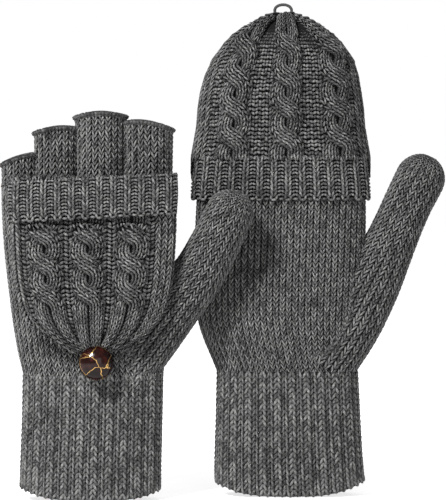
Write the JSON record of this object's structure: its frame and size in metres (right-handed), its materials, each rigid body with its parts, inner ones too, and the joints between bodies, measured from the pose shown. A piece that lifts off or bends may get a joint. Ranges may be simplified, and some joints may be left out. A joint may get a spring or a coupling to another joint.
{
  "type": "convertible flip-top mittens",
  "caption": "Pair of knitted half-finger gloves with cable-knit mitten flaps that fold back and loop round a domed button; ribbed cuffs and full thumbs.",
  "frame": {"origin": "centre of the bounding box of the pair, on the plane of the two cuff hems", "axes": "+Z from the cuff hems to the fingertips, +X from the left glove to the right glove (both thumbs point +X), -Y is the side in view: the back of the left glove and the palm of the right glove"},
  "size_m": [0.2326, 0.084, 0.2631],
  "materials": {
    "plain_knit": "charcoal heather stocking-stitch knit",
    "rib_knit": "charcoal heather ribbed knit",
    "cable_knit": "charcoal heather cable knit",
    "seam_thread": "dark yarn stitches",
    "loop_cord": "thin dark round cord",
    "button_dome": "dark brown-red with thin gold lines, glossy",
    "button_shank": "dark brown-red, smooth"
  },
  "bodies": {
    "left_glove": {"left_cuff": "rib_knit", "left_hand": "plain_knit", "left_thumb": "plain_knit", "left_finger_web": "plain_knit", "left_index_finger": "plain_knit", "left_middle_finger": "plain_knit", "left_ring_finger": "plain_knit", "left_little_finger": "plain_knit", "left_knuckle_seam": "seam_thread", "left_button_thread": "seam_thread"},
    "left_flap": {"left_flap_back": "plain_knit", "left_crown_tie": "seam_thread", "left_loop": "loop_cord"},
    "left_flap_front": {"left_flap_front": "cable_knit"},
    "left_rib": {"left_flap_rib": "rib_knit"},
    "left_button": {"left_button_dome": "button_dome", "left_button_shank": "button_shank"},
    "right_glove": {"right_cuff": "rib_knit", "right_hand": "plain_knit", "right_thumb": "plain_knit", "right_finger_web": "plain_knit", "right_index_finger": "plain_knit", "right_middle_finger": "plain_knit", "right_ring_finger": "plain_knit", "right_little_finger": "plain_knit", "right_knuckle_seam": "seam_thread", "right_button_thread": "seam_thread"},
    "right_flap": {"right_flap_back": "plain_knit", "right_crown_tie": "seam_thread", "right_loop": "loop_cord"},
    "right_flap_front": {"right_flap_front": "cable_knit"},
    "right_rib": {"right_flap_rib": "rib_knit"},
    "right_button": {"right_button_dome": "button_dome", "right_button_shank": "button_shank"}
  },
  "joints": [
    {"name": "pair_apart", "type": "slide", "parent": "left_glove", "child": "right_glove", "axis": [1, 0, 0], "range_m": [0, 0.12]},
    {"name": "left_flap_fold", "type": "hinge", "parent": "left_glove", "child": "left_flap", "pos_m": [-0.06884, -0.029, 0.168], "axis": [-1, 0, 0], "range_deg": [0, 180], "deforming": ["left_flap_front", "left_flap_rib", "left_crown_tie", "left_loop"]},
    {"name": "left_pocket_open", "type": "slide", "parent": "left_flap", "child": "left_flap_front", "axis": [0, -1, 0], "range_m": [0, 0.0292], "deforming": ["left_flap_front", "left_flap_rib"]},
    {"name": "left_rib_turn", "type": "hinge", "parent": "left_flap_front", "child": "left_rib", "pos_m": [-0.06884, -0.03765, 0.171], "axis": [-1, 0, 0], "range_deg": [0, 180], "deforming": ["left_flap_rib"]},
    {"name": "left_button_turn", "type": "hinge", "parent": "left_glove", "child": "left_button", "pos_m": [-0.06634, -0.031, 0.0737], "axis": [0, -1, 0], "range_deg": [-25, 25]},
    {"name": "right_flap_fold", "type": "hinge", "parent": "right_glove", "child": "right_flap", "pos_m": [0.03516, 0.029, 0.168], "axis": [-1, 0, 0], "range_deg": [0, 180], "deforming": ["right_flap_front", "right_flap_rib", "right_crown_tie", "right_loop"]},
    {"name": "right_pocket_flatten", "type": "slide", "parent": "right_flap", "child": "right_flap_front", "axis": [0, 1, 0], "range_m": [0, 0.0292], "deforming": ["right_flap_front", "right_flap_rib"]},
    {"name": "right_rib_turn", "type": "hinge", "parent": "right_flap_front", "child": "right_rib", "pos_m": [0.03516, -0.0088, 0.1799], "axis": [-1, 0, 0], "range_deg": [0, 180], "deforming": ["right_flap_rib"]},
    {"name": "right_button_turn", "type": "hinge", "parent": "right_glove", "child": "right_button", "pos_m": [0.03766, 0.031, 0.0737], "axis": [0, 1, 0], "range_deg": [-25, 25]}
  ],
  "couplings": [
    {"joint": "left_pocket_open", "follows": "left_flap_fold", "m_per_rad": 0.009231},
    {"joint": "right_pocket_flatten", "follows": "right_flap_fold", "m_per_rad": 0.009231}
  ]
}
